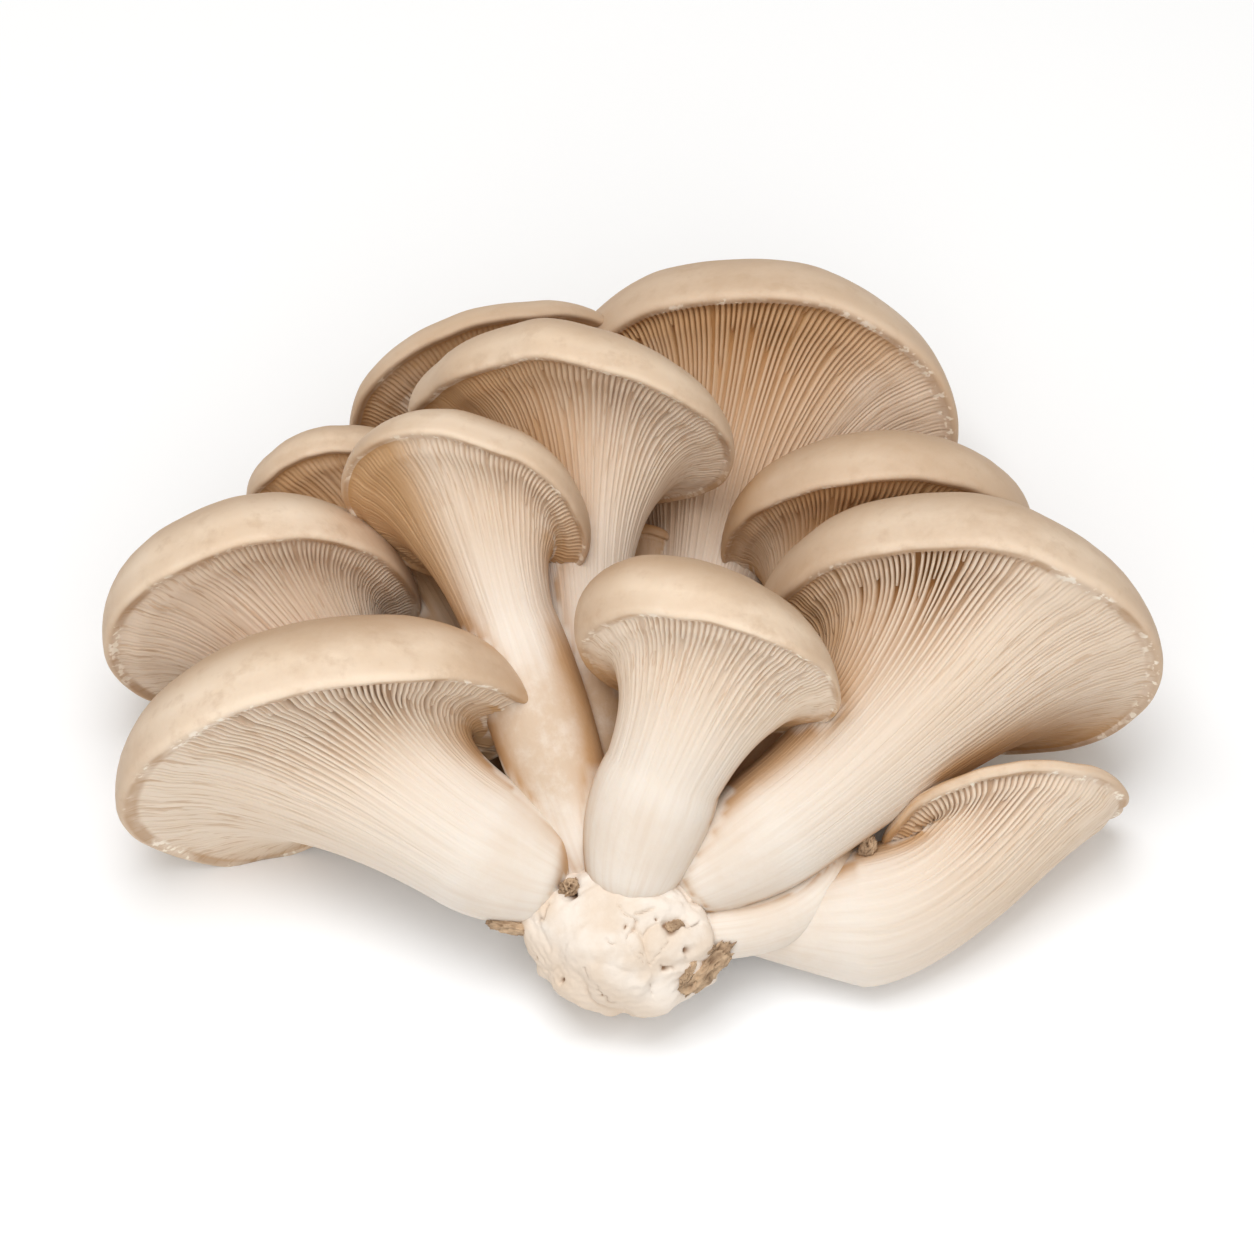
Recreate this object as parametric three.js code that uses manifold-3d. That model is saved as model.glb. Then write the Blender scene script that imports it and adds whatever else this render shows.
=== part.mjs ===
// A cluster of oyster mushrooms, picked whole and lying on its side on a flat surface.
// Each mushroom is one solid: a stem that flares into a cap, with the gills running from the cap's
// rim down onto the stem. All the stems grow out of one lumpy butt.
// Units are millimetres and degrees. +Z is up, and the origin is in the middle of the cluster's base.

import * as THREE from "three";
import Module from "manifold-3d";
import { mergeVertices } from "three/addons/utils/BufferGeometryUtils.js";

const wasm = await Module();
wasm.setup();

// The mushrooms spread in a fan. In the fan's own frame x runs across it, y runs up it from the butt,
// and z points out of its gill side. The fan lies back, so its plane slopes up from the surface.
const FAN_SLOPE = 35;
const FAN_ORIGIN = [0.15, -53.05, 13]; // the middle of the butt, from the middle of the cluster's base
const GAP = 0.45; // clear space left between two pieces that press on each other
const GILL_HEIGHT = 1.3; // how far a gill stands out of the flesh
const GILLS_START = 0.12; // share of the flare where the gills reach full height
const GILLS_FADE = 0.55; // share of the flare where they begin to fade into the stem
const ROUND_END = 0.2; // share of the stem taken by its rounded lower end

// One row for each mushroom, front ones first. A mushroom gives way to those above it in the list.
//   root, bend, neck  the stem's line: where it leaves the butt, the point it bends towards, its top
//   radii             the stem's radius at the root, half way, and where it starts to flare
//   flare             share of the stem's line below the flare
//   cap               middle of the rim
//   roll, tip         the cap's axis: turned in the fan's plane, then tipped away from the gill side
//   wide, deep        half the rim's width and half its depth
//   crown             height of the cap's top above the rim
//   lift              how far the gills rise inside the rim before they turn down to the stem
//   lean              how far the cap's top leans along the rim's width
//   bow               how far the rim's near and far sides bend up towards the cap's top
//   dents             places where the rim is pressed in: their angle, share of the rim, and spread
//   gills             how many gills, a multiple of four
const MUSHROOMS = [
  {
    name: "mushroom_front_centre",
    root: [-1, 5.2, 4], bend: [3.2, 28, 6], neck: [13, 40, 9], radii: [5.2, 9.5, 9.6], flare: 0.55,
    cap: [12.6, 42.3, 12], roll: 14, tip: 25, wide: 21.5, deep: 20, crown: 16.5, lift: 2,
    lean: -6.5, gills: 28,
  },
  {
    name: "mushroom_front_left",
    root: [-10, 9, 1], bend: [-28, 14.5, 1], neck: [-42, 31, -6], radii: [6, 10, 11.5], flare: 0.45,
    cap: [-47.6, 25.8, -2.5], roll: -13, tip: 28, wide: 35.5, deep: 31, crown: 23, lift: 3,
    dents: [[-60, 0.42, 50]], gills: 36,
  },
  {
    name: "mushroom_front_right",
    root: [7, 8, 1], bend: [28, 19.8, 2], neck: [49, 40, -8], radii: [5, 8.7, 10.2], flare: 0.42,
    cap: [53, 46.2, -4], roll: 11, tip: 36, wide: 33.5, deep: 29, crown: 22, lift: 3,
    lean: -4, dents: [[140, 0.1, 45]], gills: 36,
  },
  {
    name: "mushroom_bud_right",
    root: [8, 1.2, 1], bend: [30.5, 0.8, 1], neck: [33.5, 14, -5], radii: [4.3, 4.6, 4.2], flare: 0.74,
    cap: [33, 15.5, -7.5], roll: 0, tip: 30, wide: 4.2, deep: 4.2, crown: 3.5, lift: 0.5,
    gills: 12,
  },
  {
    name: "mushroom_low_right",
    root: [13, 4.5, -5], bend: [41, 0, -6], neck: [63, 10, -9.5], radii: [5, 7.6, 11.5], flare: 0.45,
    cap: [60.8, 17.8, -7.5], roll: -12, tip: 20, wide: 20.8, deep: 16, crown: 6, lift: 1,
    bow: 4, dents: [[-150, 0.12, 35], [-65, -0.35, 35]], gills: 28,
  },
  {
    name: "mushroom_middle_left",
    root: [-5, 6, -1], bend: [-21, 44, -2], neck: [-22, 66, -6], radii: [5, 8.3, 7.6], flare: 0.72,
    cap: [-26.4, 68.5, -2], roll: 15, tip: 35, wide: 21, deep: 20.5, crown: 12.5, lift: 2,
    dents: [[50, 0.1, 50]], gills: 28,
  },
  {
    name: "mushroom_middle",
    root: [-2, 8, -8], bend: [-8, 48, -12], neck: [-8, 78, -18], radii: [5, 7, 7], flare: 0.6,
    cap: [-10.5, 82, -12], roll: 12, tip: 27, wide: 28, deep: 23, crown: 15, lift: 3,
    lean: -2.5, dents: [[150, 0.18, 40]], gills: 28,
  },
  {
    name: "mushroom_left",
    root: [-9, 6, -8], bend: [-40, 30, -14], neck: [-57, 50, -22], radii: [5, 7, 8], flare: 0.55,
    cap: [-59.8, 50, -16], roll: -15, tip: 31, wide: 26.7, deep: 26, crown: 19, lift: 3,
    dents: [[25, 0.07, 35]], gills: 28,
  },
  {
    name: "mushroom_back_right",
    root: [4, 8, -10], bend: [10, 44, -30], neck: [16, 76, -42], radii: [6, 8.5, 8], flare: 0.55,
    cap: [20.9, 85.2, -41], roll: 9, tip: 47, wide: 35.2, deep: 29, crown: 24.5, lift: 4,
    lean: -4, dents: [[130, 0.1, 45]], gills: 32,
  },
  {
    name: "mushroom_right",
    root: [8, 6, -8], bend: [26, 34, -20], neck: [36, 58, -28], radii: [5, 6.5, 7], flare: 0.6,
    cap: [40.5, 63.6, -22], roll: -1, tip: 27, wide: 26.5, deep: 23, crown: 17, lift: 3,
    dents: [[150, 0.08, 40]], gills: 24,
  },
  {
    name: "mushroom_back_left",
    root: [-4, 6, -11], bend: [-12, 44, -35], neck: [-19, 80, -49], radii: [5, 6.5, 7], flare: 0.6,
    cap: [-23, 88.5, -44], roll: -18, tip: 30, wide: 25.2, deep: 24, crown: 9.7, lift: 3,
    gills: 24,
  },
  {
    name: "mushroom_far_left",
    root: [-8, 4, -11], bend: [-20, 38, -26], neck: [-43, 66, -34], radii: [4, 5, 5], flare: 0.6,
    cap: [-48.5, 71.5, -30], roll: -10, tip: 30, wide: 15.5, deep: 15, crown: 10.5, lift: 2,
    gills: 16,
  },
  {
    name: "mushroom_bud_back",
    root: [0, 6, -12], bend: [3, 38, -30], neck: [2, 62, -33], radii: [4, 4.6, 4], flare: 0.75,
    cap: [2, 64, -32], roll: 0, tip: 25, wide: 4.8, deep: 4.8, crown: 3, lift: 0.5,
    gills: 12,
  },
];

// The butt: a lumpy ellipsoid. Each knob is a stunted bud: the way it points, how far it stands out
// and how wide it is, as shares of the butt's own size.
const BUTT = {
  middle: [-1, 1, 0],
  half: [16, 13.5, 12],
  knobs: [
    { towards: [-0.9, 0.35, 0.3], height: 0.2, width: 0.35 },
    { towards: [0.75, -0.1, 0.65], height: 0.14, width: 0.35 },
    { towards: [-0.35, -0.2, 0.9], height: 0.14, width: 0.4 },
    { towards: [0.3, -0.8, 0.4], height: 0.12, width: 0.35 },
    { towards: [-0.55, -0.75, 0.4], height: 0.04, width: 0.3 },
    { towards: [0.8, -0.5, -0.2], height: 0.14, width: 0.35 },
    { towards: [0, 0.75, 0.65], height: 0.12, width: 0.35 },
  ],
  columns: 28,
  rows: 14,
};

const COLOURS = { mushroom: 0xe6cfb2, butt: 0xf0e4d6 };

const rad = THREE.MathUtils.degToRad;
const vec = (p) => new THREE.Vector3(...p);
const along = (p, direction, distance) => p.clone().addScaledVector(direction, distance);

// The fan's frame, turned and lifted so that the cluster lies on the surface.
const LYING = new THREE.Matrix4()
  .makeRotationX(rad(FAN_SLOPE))
  .setPosition(...FAN_ORIGIN);

// A cubic curve from a to d, leaving a towards b and reaching d from c.
function cubic(a, b, c, d, t) {
  const s = 1 - t;
  return a.clone().multiplyScalar(s * s * s)
    .addScaledVector(b, 3 * s * s * t)
    .addScaledVector(c, 3 * s * t * t)
    .addScaledVector(d, t * t * t);
}

// The surface of one mushroom as functions of the angle round it.
function shapeOf(m) {
  const roll = rad(m.roll);
  const tip = rad(m.tip);
  const axis = new THREE.Vector3(Math.sin(roll) * Math.cos(tip), Math.cos(roll) * Math.cos(tip), -Math.sin(tip));
  const across = new THREE.Vector3(Math.cos(roll), -Math.sin(roll), 0);
  const near = new THREE.Vector3().crossVectors(across, axis);
  const middle = vec(m.cap);
  const neck = vec(m.neck);
  const stemLine = new THREE.QuadraticBezierCurve3(vec(m.root), vec(m.bend), neck);
  const rise = axis.clone().multiplyScalar(m.crown).addScaledVector(across, m.lean ?? 0);
  const apex = middle.clone().add(rise);
  const flareFoot = stemLine.getPoint(m.flare);
  const flareWay = stemLine.getTangent(m.flare);
  const flareReach = flareFoot.distanceTo(neck);
  const neckOnRim = along(neck, axis, along(middle, neck, -1).dot(axis));

  const rim = (angle) => {
    const reach = (m.dents ?? []).reduce((left, [towards, depth, spread]) => {
      const apart = Math.atan2(Math.sin(angle - rad(towards)), Math.cos(angle - rad(towards)));
      return left - depth * Math.exp(-((apart / rad(spread)) ** 4));
    }, 1);
    return middle.clone()
      .addScaledVector(across, m.wide * Math.cos(angle) * reach)
      .addScaledVector(near, m.deep * Math.sin(angle) * reach)
      .addScaledVector(axis, (m.bow ?? 0) * Math.sin(angle) ** 2);
  };

  // A ring round the stem, carried along its line without twisting.
  const stem = (angle, t, grow = 0) => {
    const way = stemLine.getTangent(t);
    const turn = new THREE.Quaternion().setFromUnitVectors(axis, flareWay);
    turn.premultiply(new THREE.Quaternion().setFromUnitVectors(flareWay, way));
    const [foot, waist, top] = m.radii;
    const share = t / m.flare;
    const end = Math.min(share / ROUND_END, 1);
    const radius = Math.sqrt(1 - (1 - end) ** 2) * (foot * (1 - share) * (1 - 2 * share)
      + waist * 4 * share * (1 - share) + top * share * (2 * share - 1));
    return stemLine.getPoint(t)
      .addScaledVector(across.clone().applyQuaternion(turn), (radius + grow) * Math.cos(angle))
      .addScaledVector(near.clone().applyQuaternion(turn), (radius + grow) * Math.sin(angle));
  };

  // The gill side, from the rim at 0 to the top of the stem at 1.
  const gillSide = (angle, t) => {
    const edge = rim(angle);
    const inward = along(edge.clone().lerp(neckOnRim, 0.35), axis, m.lift * 2);
    const foot = stem(angle, m.flare);
    return cubic(edge, inward, along(foot, flareWay, flareReach * 0.75), foot, t);
  };

  // The top of the cap, from the rim at 0 to its highest point at 1.
  const capSide = (angle, t) => {
    const edge = rim(angle);
    const flat = along(edge, middle, -1);
    flat.addScaledVector(axis, -flat.dot(axis));
    const outward = flat.clone().normalize();
    const shoulder = along(edge, rise, 0.68).addScaledVector(outward, 1.2);
    return cubic(edge, shoulder, along(apex, flat, 0.55), apex, t);
  };
  return { stem, gillSide, capSide, apex, axis, stemLine };
}

// The outward normal of a surface given as a function of the angle and the way along.
function normalOf(surface, angle, t) {
  const step = 1e-3;
  const round = surface(angle + step, t).sub(surface(angle - step, t));
  const down = surface(angle, Math.min(t + step, 1)).sub(surface(angle, Math.max(t - step, 0)));
  return round.cross(down).normalize();
}

// How high a gill stands at each place along the flare.
function gillHeight(t) {
  const rise = Math.min(1, t / GILLS_START);
  const fade = Math.min(1, (1 - t) / (1 - GILLS_FADE));
  return GILL_HEIGHT * Math.min(rise, fade);
}

// Joins rings of points into a closed skin, from the pole at one end to the pole at the other.
// Each ring has as many points as the next one, or twice or half as many.
function skin(firstPole, rings, lastPole) {
  const positions = [];
  const faces = [];
  const add = (p) => positions.push(p.x, p.y, p.z) / 3 - 1;
  const start = add(firstPole);
  const numbered = rings.map((points) => points.map(add));
  const end = add(lastPole);
  const fan = (pole, points, turn) => points.forEach((a, i) => {
    const b = points[(i + 1) % points.length];
    faces.push(pole, ...(turn ? [b, a] : [a, b]));
  });
  fan(start, numbered[0], true);
  numbered.slice(1).forEach((lower, k) => {
    const upper = numbered[k];
    const cells = Math.min(upper.length, lower.length);
    for (let j = 0; j < cells; j++) {
      const [u, l] = [upper, lower].map((points) => {
        const per = points.length / cells;
        return Array.from({ length: per + 1 }, (_, i) => points[(j * per + i) % points.length]);
      });
      faces.push(u[0], l[1], l[0], u[0], u[1], l[1]);
      if (u.length > 2) faces.push(u[1], u[2], l[1]);
      if (l.length > 2) faces.push(u[1], l[2], l[1]);
    }
  });
  fan(end, numbered[numbered.length - 1], false);
  const geometry = new THREE.BufferGeometry();
  geometry.setAttribute("position", new THREE.Float32BufferAttribute(positions, 3));
  geometry.setIndex(faces);
  return geometry;
}

const ring = (count, place) =>
  Array.from({ length: count }, (_, i) => place((2 * Math.PI * i) / count, i));

// One mushroom's skin in the fan's frame. With grow, it is swollen by that much and has no gills.
function mushroomSkin(m, grow = 0) {
  const { stem, gillSide, capSide, apex, axis, stemLine } = shapeOf(m);
  const fine = grow ? m.gills : 2 * m.gills;
  const onCap = (t) => ring(t > 0.7 ? m.gills / 2 : m.gills, (angle) =>
    along(capSide(angle, t), normalOf(capSide, angle, t), -grow));
  const onGills = (t) => ring(fine, (angle, i) => {
    const crest = grow || i % 2 === 0 ? gillHeight(t) : 0;
    return along(gillSide(angle, t), normalOf(gillSide, angle, t), crest + grow);
  });
  const onStem = (share) => ring(m.gills / 2, (angle) => stem(angle, m.flare * share, grow));
  const rings = [
    ...[0.8, 0.5, 0.22, 0.06].map(onCap),
    ring(fine, (angle) =>
      along(along(gillSide(angle, 0), axis, -grow), normalOf(capSide, angle, 0), -grow)),
    ...[0.12, 0.35, 0.62].map(onGills),
    ring(m.gills, (angle) => along(gillSide(angle, 0.88), normalOf(gillSide, angle, 0.88), grow)),
    ...[0.75, 0.4, 0.14, 0.04].map(onStem),
  ];
  return skin(along(apex, axis, grow), rings, along(stemLine.getPoint(0), stemLine.getTangent(0), -grow));
}

// The butt's skin in the fan's frame.
function buttSkin() {
  const { middle, half, knobs, columns, rows } = BUTT;
  const surface = (angle, polar) => {
    const way = new THREE.Vector3(
      Math.sin(polar) * Math.cos(angle), Math.cos(polar), Math.sin(polar) * Math.sin(angle));
    const bulge = knobs.reduce((sum, knob) => {
      const apart = way.distanceTo(vec(knob.towards).normalize());
      return sum + knob.height * Math.exp(-((apart / knob.width) ** 2));
    }, 0.95 + 0.03 * Math.sin(5 * angle) * Math.sin(4 * polar));
    return way.multiplyScalar(bulge).multiply(vec(half)).add(vec(middle));
  };
  const rings = Array.from({ length: rows - 1 }, (_, k) =>
    ring(columns, (angle) => surface(angle, (Math.PI * (k + 1)) / rows)));
  return skin(surface(0, 0), rings, surface(0, Math.PI));
}

// A closed skin in the fan's frame as a solid, turned to lie on the surface.
function solidOf(geometry) {
  const merged = mergeVertices(geometry.clone().applyMatrix4(LYING), 1e-3);
  return new wasm.Manifold(new wasm.Mesh({
    numProp: 3,
    vertProperties: merged.attributes.position.array,
    triVerts: new Uint32Array(merged.index.array),
  }));
}

function meshOf(name, solid, color) {
  const { vertProperties, triVerts } = solid.getMesh();
  const geometry = new THREE.BufferGeometry();
  geometry.setAttribute("position", new THREE.BufferAttribute(vertProperties, 3));
  geometry.setIndex(new THREE.BufferAttribute(triVerts, 1));
  geometry.computeVertexNormals();
  const mesh = new THREE.Mesh(geometry, new THREE.MeshStandardMaterial({ color, roughness: 0.8, metalness: 0 }));
  mesh.name = name;
  return mesh;
}

// Each piece is cut clear of all the pieces above it in the list and pressed flat on the surface.
// The loose scraps and the slivers of triangle that the cuts leave are dropped.
const SLIVER = 0.1;
const group = new THREE.Group();
let taken = wasm.Manifold.union([]);
const place = (name, geometry, swollen, color) => {
  const cut = solidOf(geometry).subtract(taken).trimByPlane([0, 0, 1], 0);
  const bodies = cut.asOriginal().simplify(SLIVER).decompose();
  const largest = bodies.sort((a, b) => b.volume() - a.volume())[0];
  group.add(meshOf(name, largest, color));
  taken = taken.add(solidOf(swollen));
};
for (const m of MUSHROOMS) place(m.name, mushroomSkin(m), mushroomSkin(m, GAP), COLOURS.mushroom);
place("butt", buttSkin(), buttSkin(), COLOURS.butt);

export default group;
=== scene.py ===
from math import cos, pi, radians, sin

import bpy
import numpy as np
from mathutils import Matrix, Vector
from mathutils.bvhtree import BVHTree


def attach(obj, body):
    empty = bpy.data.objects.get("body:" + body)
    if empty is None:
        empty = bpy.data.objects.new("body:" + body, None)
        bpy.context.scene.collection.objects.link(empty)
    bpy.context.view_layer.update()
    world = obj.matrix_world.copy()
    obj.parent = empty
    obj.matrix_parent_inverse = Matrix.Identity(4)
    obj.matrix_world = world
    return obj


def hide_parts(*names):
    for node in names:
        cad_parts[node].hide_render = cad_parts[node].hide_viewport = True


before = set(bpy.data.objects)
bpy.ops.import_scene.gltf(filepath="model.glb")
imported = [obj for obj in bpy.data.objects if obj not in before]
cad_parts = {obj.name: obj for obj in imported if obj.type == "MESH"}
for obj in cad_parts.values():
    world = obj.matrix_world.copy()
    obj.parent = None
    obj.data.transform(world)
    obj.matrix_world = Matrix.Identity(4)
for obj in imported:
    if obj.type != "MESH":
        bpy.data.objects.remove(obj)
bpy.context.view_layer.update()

# ---------------------------------------------------------------- camera
# The cluster lies on its back on the table, with its gills turned up, and the camera looks down on it.
# The caps fan out over a plane that rises away from the viewer, and the camera looks straight at that plane.
MM = 0.001
FAN_SLOPE = radians(35)
FAN_ORIGIN = Vector((0.15, -53.05, 13))
VIEW_CENTRE = Vector((-0.5, 50.4, 0))
VIEW_DISTANCE = 757
LENS = 135

fan_turn = Matrix.Rotation(FAN_SLOPE, 3, "X")
camera_data = bpy.data.cameras.new("camera")
camera_data.lens = LENS
camera = bpy.data.objects.new("camera", camera_data)
camera.location = (fan_turn @ (VIEW_CENTRE + Vector((0, 0, VIEW_DISTANCE))) + FAN_ORIGIN) * MM
camera.rotation_euler = (FAN_SLOPE, 0, 0)
bpy.context.scene.collection.objects.link(camera)
bpy.context.scene.camera = camera
bpy.context.scene.view_settings.view_transform = "Standard"

# ---------------------------------------------------------------- mushrooms
# Each mushroom is one piece of firm flesh: a stem that swells at its foot, and a cap with a tan skin that
# curls over the rim. Thin gills hang under the cap and run down on to the stem. It grows out of the butt.
# Sizes are millimetres in the fan's own frame: x across, y up the fan, z towards the viewer. Angles are
# degrees, and those round a cap start at its right end and pass the side near the viewer at 90.
# root, bend, neck: the curve of the stem. foot, waist, top: its radii. flare: the share of that curve
# where the stem ends and the gills' side flares out. throat: how far the gills keep to the stem's line.
# middle: the middle of the rim. roll, tip: how the cap is turned in the fan and tipped from the viewer.
# wide, deep, crown: the cap's half width, half depth and height. lean: how far its crown stands aside.
# lift: how far the gills' side arches. bow: how far the rim bends up at its near and far sides.
# dents: where the rim is pressed in, how deep and how widely. deepest, bold: where the gills stand
# deepest, and how strongly. brown: how brown cap and gills are; it also deepens the painted shade in
# the gill valleys. stain: how stained the stem is, partly real stain and, on stems deep
# between caps, painted shade. shaded: where painted shade darkens the gills towards the rim, and how
# much. hidden: how strongly painted shade darkens the hollows where it is shut in by other flesh.
MUSHROOMS = {
    "mushroom_front_centre": dict(
        root=(-1, 5.2, 4), bend=(3.2, 28, 6), neck=(13, 40, 9), foot=5.2, waist=9.5, top=9.6, flare=0.55,
        middle=(12.6, 42.3, 12), roll=14, tip=25, wide=21.5, deep=20, crown=16.5, lift=2, lean=-6.5,
        deepest=82, bold=0.3, brown=0),
    "mushroom_front_left": dict(
        root=(-10, 9, 1), bend=(-28, 14.5, 1), neck=(-42, 31, -6), foot=6, waist=10, top=11.5, flare=0.45,
        middle=(-47.6, 25.8, -2.5), roll=-13, tip=28, wide=35.5, deep=31, crown=23, lift=3,
        dents=((-60, 0.42, 50),),
        deepest=70, bold=0.8, brown=0),
    "mushroom_front_right": dict(
        root=(7, 8, 1), bend=(28, 19.8, 2), neck=(49, 40, -8), foot=5, waist=8.7, top=10.2, flare=0.42,
        middle=(53, 46.2, -4), roll=11, tip=36, wide=33.5, deep=29, crown=22, lift=3, lean=-4,
        dents=((140, 0.1, 45),),
        deepest=138, bold=1, brown=0.25),
    "mushroom_bud_right": dict(
        root=(8, 1.2, 1), bend=(30.5, 0.8, 1), neck=(33.5, 14, -5), foot=4.3, waist=4.6, top=4.2, flare=0.74,
        middle=(33, 15.5, -7.5), roll=0, tip=30, wide=4.2, deep=4.2, crown=3.5, lift=0.5,
        deepest=60, bold=0, brown=0.1),
    "mushroom_low_right": dict(
        root=(13, 4.5, -5), bend=(41, 0, -6), neck=(63, 10, -9.5), foot=5, waist=7.6, top=11.5, flare=0.45,
        middle=(60.8, 17.8, -7.5), roll=-12, tip=20, wide=20.8, deep=16, crown=6, lift=1, bow=4, throat=0.56,
        dents=((-150, 0.12, 35), (-65, -0.35, 35)),
        deepest=115, bold=0.45, brown=0.2),
    # Its stem's stain is partly painted shade, between the front caps.
    "mushroom_middle_left": dict(
        root=(-5, 6, -1), bend=(-16.5, 42, -2), neck=(-24.5, 66, -6), foot=5, waist=8.2, top=7.6, flare=0.72,
        middle=(-26.4, 68.5, -2), roll=15, tip=35, wide=21, deep=20.5, crown=12.5, lift=2,
        dents=((50, 0.1, 50),),
        deepest=48, bold=0.3, brown=0.25, shaded=(200, 0.9), stain=0.75),
    # Its stem's stain stands for painted shade as well as stain, deep behind the front caps.
    "mushroom_middle": dict(
        root=(-2, 8, -8), bend=(-8, 48, -12), neck=(-8, 78, -18), foot=5, waist=7, top=7, flare=0.6,
        middle=(-10.5, 82, -12), roll=12, tip=27, wide=28, deep=23, crown=15, lift=3, lean=-2.5,
        dents=((150, 0.18, 40),),
        deepest=84, bold=0.45, brown=0.08, hidden=0.6, shaded=(150, 0.4), stain=1),
    "mushroom_left": dict(
        root=(-9, 6, -8), bend=(-40, 30, -14), neck=(-57, 50, -22), foot=5, waist=7, top=8, flare=0.55,
        middle=(-59.8, 50, -16), roll=-15, tip=31, wide=26.7, deep=26, crown=19, lift=3,
        dents=((25, 0.07, 35),),
        deepest=45, bold=0.35, brown=0.05, hidden=0.4, shaded=(-90, 0.1)),
    "mushroom_back_right": dict(
        root=(4, 8, -10), bend=(10, 44, -30), neck=(16, 76, -42), foot=6, waist=8.5, top=8, flare=0.55,
        middle=(20.9, 85.2, -41), roll=9, tip=47, wide=35.2, deep=29, crown=24.5, lift=4, lean=-4,
        dents=((130, 0.1, 45),),
        deepest=114, bold=0.85, brown=0.5, hidden=0.35, shaded=(110, 0.6)),
    "mushroom_right": dict(
        root=(8, 6, -8), bend=(26, 34, -20), neck=(36, 58, -28), foot=5, waist=6.5, top=7, flare=0.6,
        middle=(40.5, 63.6, -22), roll=-1, tip=27, wide=26.5, deep=23, crown=17, lift=3,
        dents=((150, 0.08, 40),),
        deepest=95, bold=0.5, brown=0.5),
    "mushroom_back_left": dict(
        root=(-4, 6, -11), bend=(-12, 44, -35), neck=(-19, 80, -49), foot=5, waist=6.5, top=7, flare=0.6,
        middle=(-23, 88.5, -44), roll=-18, tip=30, wide=25.2, deep=24, crown=9.7, lift=3,
        deepest=110, bold=0.1, brown=0.6),
    "mushroom_far_left": dict(
        root=(-8, 4, -11), bend=(-20, 38, -26), neck=(-43, 66, -34), foot=4, waist=5, top=5, flare=0.6,
        middle=(-48.5, 71.5, -30), roll=-10, tip=30, wide=15.5, deep=15, crown=10.5, lift=2,
        deepest=80, bold=0.05, brown=0.2, shaded=(-90, 0)),
    "mushroom_bud_back": dict(
        root=(0, 6, -12), bend=(3, 38, -30), neck=(2, 62, -33), foot=4, waist=4.6, top=4, flare=0.75,
        middle=(2, 64, -32), roll=0, tip=25, wide=4.8, deep=4.8, crown=3, lift=0.5,
        deepest=90, bold=0, brown=0.6),
}
GILL_PITCH = 0.97
GILL_CREST = 1.3
GILL_DEPTH = 2.2
GILL_DEPTH_FAR = 0.13
GILL_DEPTH_STEM = 0.03
GILL_WIDER = 0.2
GILL_SWAY = 0.03
CREST_HALF = 0.2
VALLEY_EDGE = 0.38
STEM_ROUND_END = 0.2
LIP = 0.05
# The rim's waves: how many go round it, and how high each stands.
RIM_WAVES = ((4, 0.22), (7, 0.14), (11, 0.09), (19, 0.05))
RIM_ROLL = 1.2
CAP_SHOULDER = 0.68
CAP_TOP_WIDTH = 0.55
HOLLOW = 0.35
# Caps with a smaller half width than this have shallower gills and waves.
SMALL_CAP = 15
# How far down from the rim the short gills reach, as a share of the way to the stem, and the share of
# all gills that run the whole way.
SHORTEST_REACH = 0.06
REACH_RANGE = 0.95
REACH_SPREAD = 0.07
WHOLE_GILLS = 0.3
WHOLE_REACH = 9
LOWEST_GILL = 0.82
GILL_UNEVEN = 0.75
# The skin's rings: how far from the rim each lies, as a share of the way to the cap's top, and how many
# points it has for each gill. The stem's go by the share of the way up from its foot.
CAP_RINGS = ((0.96, 0.5), (0.9, 0.5), (0.84, 0.5), (0.78, 0.5), (0.72, 1), (0.66, 1), (0.6, 1), (0.54, 1),
             (0.48, 1), (0.42, 1), (0.36, 1), (0.3, 1), (0.25, 1), (0.2, 1), (0.16, 1), (0.12, 1), (0.085, 2))
RIM_RINGS = (0, 0.2, 0.4, 0.6, 0.8, 1)
GILL_RINGS = 31
STEM_RINGS = ((0.95, 4), (0.9, 4), (0.84, 4), (0.78, 4), (0.71, 2), (0.64, 2), (0.57, 2), (0.5, 2), (0.43, 2),
              (0.37, 1), (0.31, 1), (0.25, 1), (0.2, 1), (0.16, 1), (0.12, 0.5), (0.08, 0.5), (0.05, 0.5),
              (0.025, 0.5), (0.01, 0.5))
# How far flesh is looked for round a point, along how many lines, and at how many points of a ring.
SKY_RAYS = 20
SKY_REACH = 0.04
SKY_CLEAR = 0.002
SKY_ANGLES = 40


def to_world(points):
    turned = points @ np.array(fan_turn).T + np.array(FAN_ORIGIN)
    turned[:, 2] = np.maximum(turned[:, 2], 0)
    return turned * MM


def smooth(x):
    x = np.clip(x, 0, 1)
    return x * x * (3 - 2 * x)


def unit(v):
    return v / np.linalg.norm(v, axis=-1, keepdims=True)


def cubic(a, b, c, d, t):
    return a * (1 - t) ** 3 + b * 3 * t * (1 - t) ** 2 + c * 3 * t * t * (1 - t) + d * t ** 3


def lumps(points, size, draw):
    """Smooth swellings, about size across, from a few long waves in drawn directions."""
    total = 0
    for _ in range(6):
        way = unit(draw.normal(size=3))
        total = total + np.sin(points @ way * (2 * pi / size) + draw.uniform(0, 2 * pi))
    return total / 3


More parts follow.
